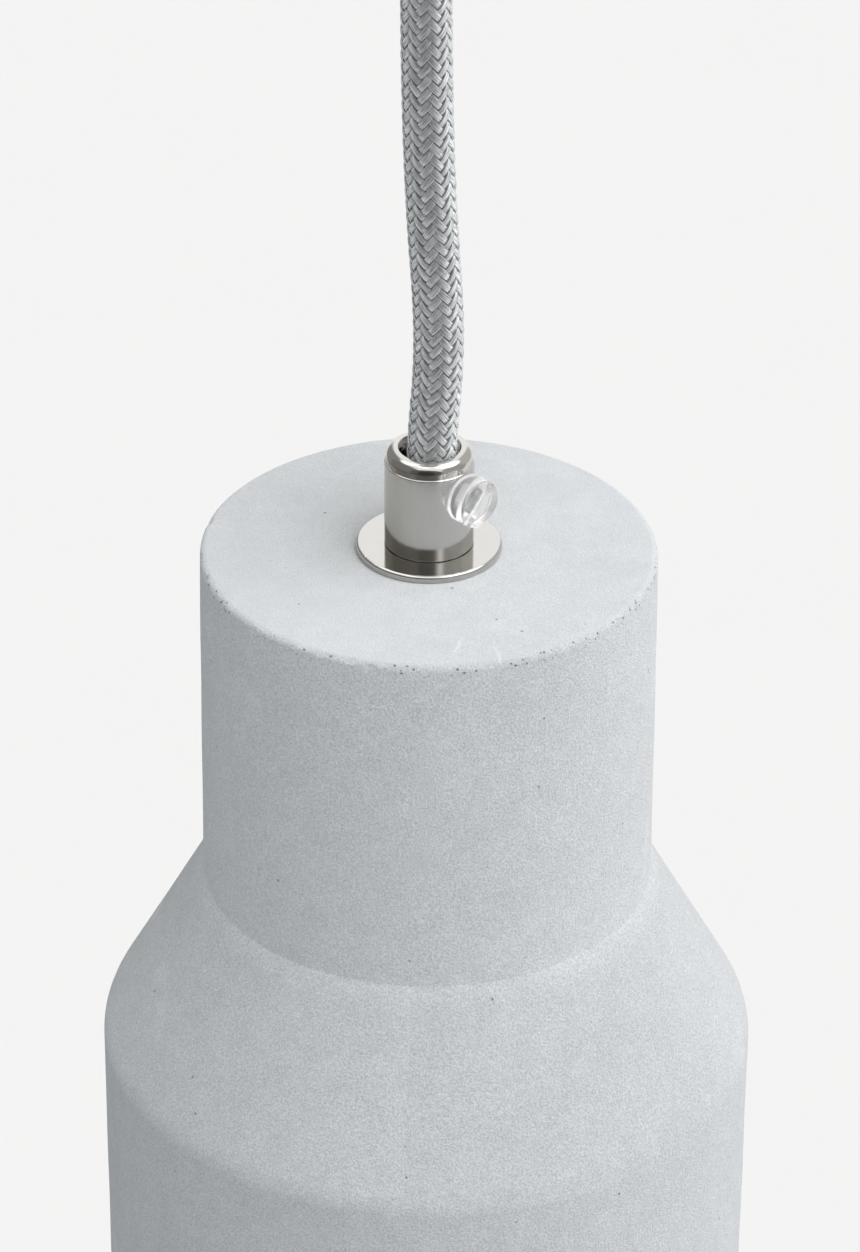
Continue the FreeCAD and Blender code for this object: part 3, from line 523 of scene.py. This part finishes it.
def make_world():
    """An even room for diffuse light, a patterned one for metal, and plain ones seen direct or through."""
    world = bpy.data.worlds.new("studio")
    world.use_nodes = True
    bpy.context.scene.world = world
    nodes = Nodes(world.node_tree)
    direction = nodes.add("TexCoord", {}, "Generated")
    height = nodes.add("SeparateXYZ", {0: direction}, 2)
    above = nodes.spread(height, -0.2, 0.2)
    mirrored = nodes.mixed(above, grey(ROOM_FLOOR), grey(ROOM_BRIGHTNESS))
    for azimuth, elevation, inner, outer, colour in ROOM_PATCHES:
        closeness = nodes.add(
            "VectorMath", {0: direction, 1: towards(azimuth, elevation)}, "Value",
            operation="DOT_PRODUCT",
        )
        inside = nodes.spread(
            closeness, math.cos(math.radians(outer)), math.cos(math.radians(inner))
        )
        mirrored = nodes.mixed(inside, mirrored, colour)
    low = (LOW * 0.95, LOW, LOW * 1.02, 1)
    high = (SKY * 0.985, SKY, SKY * 1.015, 1)
    even = nodes.mixed(above, low, high)
    colour = mirrored
    rooms = {"Diffuse": even, "Transmission": grey(SEEN_THROUGH), "Camera": grey(BACKDROP)}
    for kind, room in rooms.items():
        colour = nodes.mixed(nodes.add("LightPath", {}, f"Is {kind} Ray"), colour, room)
    background = world.node_tree.nodes["Background"]
    nodes.feed(background.inputs["Color"], colour)
    background.inputs["Strength"].default_value = 1.0


def make_key_light():
    """One broad soft light from the upper right, on the viewer's side."""
    lamp = bpy.data.lights.new("key", "SUN")
    lamp.energy = KEY_STRENGTH
    lamp.angle = KEY_SPREAD
    key = bpy.data.objects.new("key", lamp)
    key.rotation_mode = "QUATERNION"
    key.rotation_quaternion = KEY_FROM.to_track_quat("Z", "Y")
    key.visible_glossy = False
    bpy.context.collection.objects.link(key)


def make_floor():
    """A plain pale floor far below the lamp, wide enough to fill any view of it."""
    mesh = bpy.data.meshes.new("floor")
    grid = bmesh.new()
    bmesh.ops.create_grid(grid, x_segments=8, y_segments=8, size=FLOOR_REACH)
    grid.to_mesh(mesh)
    grid.free()
    floor = bpy.data.objects.new("floor", mesh)
    floor.location.z = FLOOR_HEIGHT
    floor.visible_diffuse = False
    floor.visible_glossy = False
    mesh.materials.append(pale_floor())
    bpy.context.collection.objects.link(floor)


# ---------- mesh building ----------


def new_piece(name, mesh, body, slot, *replaced):
    """Links a mesh as a piece that rides on a body and may stand for CAD nodes."""
    piece = bpy.data.objects.new(name, mesh)
    bpy.context.collection.objects.link(piece)
    mesh.materials.append(materials[slot])
    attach(piece, body)
    if replaced:
        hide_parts(*replaced)
    return piece


def corner_points(before, corner, after, rounding):
    """The arc that rounds one corner, as points with about ARC_STEP of turn between them."""
    if rounding <= 0:
        return [corner]
    back = (before - corner).normalized()
    ahead = (after - corner).normalized()
    half = back.angle(ahead) / 2
    middle = corner + (back + ahead).normalized() * rounding / math.sin(half)
    start = corner + back * rounding / math.tan(half) - middle
    end = corner + ahead * rounding / math.tan(half) - middle
    count = max(2, math.ceil((math.pi - 2 * half) / ARC_STEP))
    swing = math.copysign(math.pi - 2 * half, start.cross(end)) / count
    return [middle + Matrix.Rotation(swing * step, 2) @ start for step in range(count + 1)]


# A row of points this far beside each rounding keeps the straight walls' shading flat.
SUPPORT = 0.06 * MM
# A longest step that leaves a straight stretch in one piece.
WHOLE_RUN = 1.0
ARC_STEP = math.radians(7)
SHARP_EDGE = math.radians(35)


def outline(corners):
    """A closed (radius, height) outline from (radius, height, rounding, longest step after it)."""
    spots = [Vector(corner[:2]) for corner in corners]
    arcs = [
        corner_points(spots[index - 1], spot, spots[(index + 1) % len(spots)], corners[index][2])
        for index, spot in enumerate(spots)
    ]
    points = []
    for index, arc in enumerate(arcs):
        points += arc
        following = arcs[(index + 1) % len(arcs)][0]
        run = following - arc[-1]
        if run.length > 4 * SUPPORT:
            margin = run.normalized() * SUPPORT
            points.append(arc[-1] + margin)
            inner = run - 2 * margin
            pieces = max(1, math.ceil(inner.length / corners[index][3]))
            points += [points[-1] + inner * step / pieces for step in range(1, pieces)]
            points.append(following - margin)
    return points


def turned(name, points, around):
    """A ring-shaped mesh: a closed (radius, height) outline turned round the Z axis."""
    mesh = bpy.data.meshes.new(name)
    if sum(point.cross(points[index - 1]) for index, point in enumerate(points)) > 0:
        points = points[::-1]
    rows = len(points)
    vertices = []
    for step in range(around):
        turn = FULL_TURN * step / around
        vertices += [(r * math.cos(turn), r * math.sin(turn), z) for r, z in points]
    faces = []
    for step in range(around):
        here, there = step * rows, (step + 1) % around * rows
        for row in range(rows):
            after = (row + 1) % rows
            faces.append((here + row, there + row, there + after, here + after))
    mesh.from_pydata(vertices, [], faces)
    mesh.shade_smooth()
    mesh.set_sharp_from_angle(angle=SHARP_EDGE)
    return mesh


# ---------- cord ----------

# The cord's route, from inside the lamp's neck up to the ceiling grip: sideways, then height.
CORD_ROUTE = (
    (0.0, -262.0),
    (0.0, -235.0),
    (1.6, -217.0),
    (-0.3, -192.0),
    (-0.9, -162.0),
    (-0.7, -125.0),
    (0.3, -90.0),
    (0.0, -64.0),
    (0.0, -43.4),
)


class Route:
    """A smooth line read from a NURBS spline, by the distance along it."""

    def __init__(self, points):
        curve = bpy.data.curves.new("route", "CURVE")
        curve.dimensions = "3D"
        curve.resolution_u = 48
        spline = curve.splines.new("NURBS")
        spline.points.add(len(points) - 1)
        for control, point in zip(spline.points, points):
            control.co = (*point, 1.0)
        spline.order_u = 3
        spline.use_endpoint_u = True
        holder = bpy.data.objects.new("route", curve)
        mesh = bpy.data.meshes.new_from_object(holder)
        self.points = np.array([tuple(vertex.co) for vertex in mesh.vertices])
        steps = np.linalg.norm(np.diff(self.points, axis=0), axis=1)
        self.distances = np.concatenate(([0], np.cumsum(steps)))
        self.length = self.distances[-1]
        bpy.data.objects.remove(holder)
        bpy.data.curves.remove(curve)
        bpy.data.meshes.remove(mesh)

    def sampled(self, spacing):
        """Distances along the line with the place, direction and two crosswise directions there."""
        count = math.ceil(self.length / spacing) + 1
        distances = np.linspace(0, self.length, count)
        places = np.stack(
            [np.interp(distances, self.distances, self.points[:, axis]) for axis in range(3)], 1
        )
        ahead = np.gradient(places, axis=0)
        ahead /= np.linalg.norm(ahead, axis=1, keepdims=True)
        right = np.cross((0.0, 1.0, 0.0), ahead)
        right /= np.linalg.norm(right, axis=1, keepdims=True)
        return distances, places, ahead, right, np.cross(ahead, right)


def tube_faces(rings, sides, first=0):
    """Quads that join rings of points into a tube, and a cap at each end."""
    faces = []
    for ring in range(rings - 1):
        start = first + ring * sides
        for side in range(sides):
            after = (side + 1) % sides
            faces.append((start + side, start + after, start + sides + after, start + sides + side))
    last = first + (rings - 1) * sides
    faces.append(tuple(range(first + sides - 1, first - 1, -1)))
    faces.append(tuple(range(last, last + sides)))
    return faces


def round_tube(name, route, radius, sides=32, spacing=1.0 * MM):
    """A plain round tube along a route."""
    _, places, _, right, front = route.sampled(spacing)
    turn = np.linspace(0, FULL_TURN, sides, endpoint=False)[None, :, None]
    points = places[:, None] + radius * (
        np.cos(turn) * right[:, None] + np.sin(turn) * front[:, None]
    )
    mesh = bpy.data.meshes.new(name)
    mesh.from_pydata(points.reshape(-1, 3), [], tube_faces(len(places), sides))
    mesh.shade_smooth()
    return mesh


STRAND_LIFT = 0.20 * MM
STRAND_TOP = 0.24 * MM
STRAND_UNDER = -0.15 * MM
STRAND_FILL = 0.98
STRAND_UNDER_SHARE = 0.42
EDGE_DROP = 0.55
THREAD_VALLEY = 0.35
CROSSING_SHARPNESS = 2.2
JACKET_GAP = 0.2 * MM
BRAID_MIDDLE = CORD_DIAMETER / 2 - STRAND_LIFT - STRAND_TOP


def strand_section():
    """A strand's cross-section as (across, height): ridged threads above, flat below."""
    braid_angle = math.atan(FULL_TURN * BRAID_MIDDLE / BRAID_LAY)
    width = FULL_TURN * BRAID_MIDDLE / STRANDS_EACH_WAY * math.cos(braid_angle) * STRAND_FILL
    ridges = 2 * THREADS_PER_STRAND
    across = [width * (step / ridges - 0.5) for step in range(ridges + 1)]
    heights = []
    for step, place in enumerate(across):
        crown = 1 - EDGE_DROP * (2 * place / width) ** 2
        valley = 1.0 if step % 2 else THREAD_VALLEY
        heights.append(STRAND_TOP * crown * valley)
    heights[0] = heights[-1] = 0.0
    section = list(zip(across, heights))
    under = width * STRAND_UNDER_SHARE
    section += [(under, STRAND_UNDER), (-under, STRAND_UNDER)]
    return np.array(section), braid_angle


def braid_layer(name, route, way):
    """All strands that wind one way round a route, each over two and under two of the others."""
    section, braid_angle = strand_section()
    sides = len(section)
    crossing = BRAID_LAY / (2 * STRANDS_EACH_WAY)
    distances, places, ahead, right, front = route.sampled(crossing / 3)
    rings = len(distances)
    vertices, faces, yarn = [], [], []
    for strand in range(STRANDS_EACH_WAY):
        turn = FULL_TURN * strand / STRANDS_EACH_WAY + way * FULL_TURN * distances / BRAID_LAY
        column = 2 * strand + way * distances / crossing
        over = way * np.cos(FULL_TURN * (column - 0.5) / 4)
        flattened = np.tanh(CROSSING_SHARPNESS * over) / math.tanh(CROSSING_SHARPNESS)
        lift = STRAND_LIFT * flattened
        outward = np.cos(turn)[:, None] * right + np.sin(turn)[:, None] * front
        round_way = -np.sin(turn)[:, None] * right + np.cos(turn)[:, None] * front
        along = math.cos(braid_angle) * ahead + way * math.sin(braid_angle) * round_way
        across = np.cross(along, outward)
        wrap = (section[:, 0] * math.cos(braid_angle)) ** 2 / (2 * BRAID_MIDDLE)
        height = (BRAID_MIDDLE + lift)[:, None] + (section[:, 1] - wrap)[None, :]
        points = (
            places[:, None] + height[..., None] * outward[:, None]
            + section[None, :, 0, None] * across[:, None]
        )
        faces += tube_faces(rings, sides, strand * rings * sides)
        vertices.append(points.reshape(-1, 3))
        length_along = distances / math.cos(braid_angle) / MM
        rank = np.linspace(0, 1, sides) + strand * RANK_STEP
        yarn.append(np.stack(np.meshgrid(length_along, rank, indexing="ij"), -1).reshape(-1, 2))
    mesh = bpy.data.meshes.new(name)
    mesh.from_pydata(np.concatenate(vertices), [], faces)
    mesh.shade_smooth()
    layer = mesh.uv_layers.new(name="yarn")
    corners = np.zeros(len(mesh.loops), np.int32)
    mesh.loops.foreach_get("vertex_index", corners)
    layer.data.foreach_set("uv", np.concatenate(yarn)[corners].astype(np.float32).ravel())
    return mesh


def make_cord():
    """The braided cord that carries the lamp: a jacket under two crossing layers of strands."""
    route = Route([(x * MM, 0.0, z * MM) for x, z in CORD_ROUTE])
    jacket = new_piece(
        "cord_jacket", round_tube("cord_jacket", route, BRAID_MIDDLE - JACKET_GAP), "pendant",
        "cord_braid", "power_cord",
    )
    strands = [
        new_piece(name, braid_layer(name, route, way), "pendant", "cord_braid", "power_cord")
        for name, way in (("cord_strands_right", 1), ("cord_strands_left", -1))
    ]


def make_ceiling_cord_end():
    """The clamped end of the cord inside the ceiling grip."""
    low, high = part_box("ceiling_cord_end")
    route = Route([(0.0, 0.0, low.z), (0.0, 0.0, (low.z + high.z) / 2), (0.0, 0.0, high.z)])
    jacket = round_tube("ceiling_cord_jacket", route, BRAID_MIDDLE - JACKET_GAP)
    new_piece("ceiling_cord_jacket", jacket, "ceiling", "cord_braid", "ceiling_cord_end")
    for name, way in (("ceiling_cord_strands_right", 1), ("ceiling_cord_strands_left", -1)):
        new_piece(name, braid_layer(name, route, way), "ceiling", "cord_braid", "ceiling_cord_end")


# ---------- concrete shade ----------

# Every cast face sinks by CAST_SINK, give or take its waves and ripples: (size, depth) of each.
CAST_SINK = 0.13 * MM
CAST_WAVES = (16 * MM, 0.10 * MM)
CAST_RIPPLES = (2.2 * MM, 0.010 * MM)

# Chips lie round the edge's viewed left and front, within these ranges.
CHIP_COUNT = 16
CHIP_TURN = (150, 330)
CHIP_INSET = (0.0, 1.1)
CHIP_DROP = (0.2, 1.6)
CHIP_REACH = (0.35, 0.95)
CHIP_DEPTH_SHARE = (0.25, 0.5)


def edge_chips():
    """Small chips knocked out of the neck's top edge: place, reach and depth of each."""
    draw = random.Random(11)
    chips = []
    for _ in range(CHIP_COUNT):
        turn = math.radians(draw.uniform(*CHIP_TURN))
        radius = NECK_RADIUS - draw.uniform(*CHIP_INSET) * MM
        drop = draw.uniform(*CHIP_DROP) * MM
        reach = draw.uniform(*CHIP_REACH) * MM
        place = Vector((
            radius * math.cos(turn), radius * math.sin(turn), CONCRETE_TOP - drop
        ))
        chips.append((place, reach, reach * draw.uniform(*CHIP_DEPTH_SHARE)))
    return chips


def weathered(mesh):
    """Moves a cast surface slightly inward: gentle unevenness, and chips at the top edge."""
    places = np.empty((len(mesh.vertices), 3), np.float32)
    mesh.vertices.foreach_get("co", places.ravel())
    normals = np.empty_like(places)
    mesh.vertex_normals.foreach_get("vector", normals.ravel())
    inward = np.full(len(places), CAST_SINK)
    for size, depth in (CAST_WAVES, CAST_RIPPLES):
        inward += [noise.noise(Vector(place) / size) * depth for place in places]
    for middle, reach, depth in edge_chips():
        gaps = np.linalg.norm(places - np.array(middle), axis=1)
        for index in np.flatnonzero(gaps < reach):
            ragged = 1 + 0.4 * noise.noise(Vector(places[index]) / (0.5 * MM))
            inward[index] += depth * ragged * (1 - (gaps[index] / reach) ** 2)
    moved = places - normals * inward[:, None]
    mesh.vertices.foreach_set("co", moved.astype(np.float32).ravel())
    mesh.update()


def make_shade():
    """The cast concrete shade: neck, straight shoulder and body, hollow and open below."""
    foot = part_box("concrete_shade")[0].z
    step = SHADE_WALL * INNER_DROP_SHARE
    inner_neck, inner_body = NECK_RADIUS - SHADE_WALL, BODY_RADIUS - SHADE_WALL
    ceiling = CONCRETE_TOP - SHADE_ROOF
    fine, coarse = 1.05 * MM, 4 * MM
    points = outline([
        (TUBE_HOLE, CONCRETE_TOP, 0.3 * MM, fine),
        (NECK_RADIUS, CONCRETE_TOP, TOP_EDGE, fine),
        (NECK_FOOT_RADIUS, NECK_FOOT, 0.35 * MM, fine),
        (BODY_RADIUS, BODY_TOP, SHOULDER_EDGE, 1.7 * MM),
        (BODY_RADIUS, foot, RIM_EDGE, fine),
        (inner_body, foot, RIM_EDGE, coarse),
        (inner_body, BODY_TOP - step, INNER_EDGE, coarse),
        (inner_neck, NECK_FOOT - step, INNER_EDGE, coarse),
        (inner_neck, ceiling, INNER_EDGE, coarse),
        (TUBE_HOLE, ceiling, 0.3 * MM, coarse),
    ])
    mesh = turned("shade", points, SHADE_FACETS)
    weathered(mesh)
    new_piece("shade", mesh, "pendant", "concrete", "concrete_shade")


# ---------- cord grips ----------


def grip_outline(base, way, throat):
    """A grip's outline from its tapped base: a wall, a fine ridge, a round shoulder and a lip."""
    seam_top = GRIP_SEAM * 0.35
    ridge = GRIP_RADIUS - 0.20 * MM
    shoulder = GRIP_RADIUS - 0.30 * MM
    points = outline([
        (GRIP_TAP, 0, 0.1 * MM, WHOLE_RUN),
        (GRIP_RADIUS - GRIP_SEAM, 0, 0, WHOLE_RUN),
        (GRIP_RADIUS - GRIP_SEAM, seam_top, 0, WHOLE_RUN),
        (GRIP_RADIUS, seam_top, 0.05 * MM, 1.2 * MM),
        (GRIP_RADIUS, GRIP_WALL_HEIGHT, 0.14 * MM, WHOLE_RUN),
        (ridge, GRIP_WALL_HEIGHT + 0.05 * MM, 0.02 * MM, WHOLE_RUN),
        (shoulder, GRIP_HEIGHT, 1.45 * MM, WHOLE_RUN),
        (GRIP_MOUTH, GRIP_HEIGHT, 0.16 * MM, WHOLE_RUN),
        (throat, GRIP_HEIGHT - GRIP_THROAT_DROP, 0.1 * MM, WHOLE_RUN),
        (throat, GRIP_TAP_DEPTH, 0, WHOLE_RUN),
        (GRIP_TAP, GRIP_TAP_DEPTH, 0, WHOLE_RUN),
    ])
    return [Vector((r, base + way * z)) for r, z in points]


DRILL_LENGTH = 10 * MM


def cut_through(piece, start, direction, radius):
    """Drills a round hole in a piece from a point, along a direction."""
    drill = bmesh.new()
    bmesh.ops.create_cone(
        drill, cap_ends=True, segments=48, radius1=radius, radius2=radius, depth=DRILL_LENGTH
    )
    mesh = bpy.data.meshes.new("drill")
    drill.to_mesh(mesh)
    drill.free()
    cutter = bpy.data.objects.new("drill", mesh)
    bpy.context.collection.objects.link(cutter)
    cutter.matrix_world = Matrix.LocRotScale(
        start + direction * DRILL_LENGTH / 2, direction.to_track_quat("Z", "Y"), None
    )
    hole = piece.modifiers.new("hole", "BOOLEAN")
    hole.object = cutter
    bpy.context.view_layer.update()
    drilled = bpy.data.meshes.new_from_object(
        piece.evaluated_get(bpy.context.evaluated_depsgraph_get())
    )
    piece.modifiers.clear()
    piece.data = drilled
    bpy.data.objects.remove(cutter)
    bpy.data.meshes.remove(mesh)


def make_grips():
    """The lamp's grip and the ceiling's, which hangs upside down with its screw on the same side."""
    ends = (
        ("cord_grip", "pendant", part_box("cord_grip")[0].z, 1, GRIP_THROAT, "clamp_screw"),
        (
            "canopy_cord_grip", "ceiling_grip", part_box("canopy_cord_grip")[1].z, -1,
            CANOPY_GRIP_THROAT, "canopy_clamp_screw",
        ),
    )
    for node, body, base, way, throat, screw in ends:
        points = grip_outline(base, way, throat)
        mesh = turned(node + "_turned", points, GRIP_FACETS)
        piece = new_piece(node + "_turned", mesh, body, "nickel", node)
        low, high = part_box(screw)
        middle = (low + high) / 2
        aim = Vector((middle.x, middle.y, 0)).normalized()
        cut_through(piece, Vector((0, 0, middle.z)), aim, CLAMP_RADIUS + RUNNING_GAP)


# ---------- the model's own nodes ----------


def finish_cad_nodes():
    """Gives each CAD node the material of its slot."""
    slots = {part["node"]: part["material_slot"] for part in frame["record"]["subparts"]}
    for name, node in frame["nodes"].items():
        node.data.materials.clear()
        node.data.materials.append(materials[slots[name]])


bpy.context.scene.view_settings.view_transform = "Standard"
make_camera()
materials = {maker.__name__: maker() for maker in MATERIAL_MAKERS}
make_cord()
make_ceiling_cord_end()
make_shade()
make_grips()
finish_cad_nodes()
make_world()
make_key_light()
make_floor()
